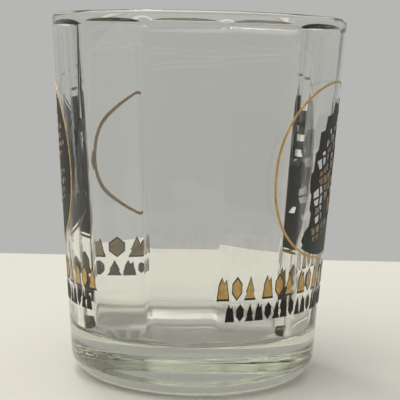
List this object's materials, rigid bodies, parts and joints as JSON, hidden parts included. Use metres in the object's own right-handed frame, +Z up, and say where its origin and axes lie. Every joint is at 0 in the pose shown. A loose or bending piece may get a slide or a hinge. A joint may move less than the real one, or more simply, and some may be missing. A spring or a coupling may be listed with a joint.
{
  "type": "shot glass",
  "caption": "Clear shot glass with flat panels inside, a thick base, and an enamel cliff picture in a gold ring over ornament borders, front and back.",
  "frame": {"origin": "middle of the foot, on the surface that the glass stands on", "axes": "+Z up along the glass's axis, through the middle of the rim; -Y towards the middle of the front print; the middle of the back print lies 8.5 degrees past +Y, towards -X"},
  "size_m": [0.0489, 0.049, 0.0597],
  "materials": {
    "clear_glass": "fire-polished pressed soda-lime glass, clear with a faint grey-green cast",
    "enamel_gold": "fired metallic gold enamel, satin",
    "enamel_black": "fired black ceramic enamel, semi-gloss",
    "enamel_brown": "fired brown ceramic enamel, semi-gloss",
    "enamel_green": "fired dark green ceramic enamel, semi-gloss",
    "enamel_dark_brown": "fired dark brown ceramic enamel, semi-gloss"
  },
  "bodies": {
    "root": {"glass_body": "clear_glass", "front_gold_ring": "enamel_gold", "front_cliff_lines": "enamel_black", "front_cliff_tint": "enamel_brown", "front_fir_trees": "enamel_green", "front_border_gold": "enamel_gold", "front_border_outline": "enamel_dark_brown", "front_small_border": "enamel_black", "back_gold_ring": "enamel_gold", "back_cliff_lines": "enamel_black", "back_cliff_tint": "enamel_brown", "back_fir_trees": "enamel_green", "back_border_gold": "enamel_gold", "back_border_outline": "enamel_dark_brown", "back_small_border": "enamel_black"}
  },
  "joints": []
}
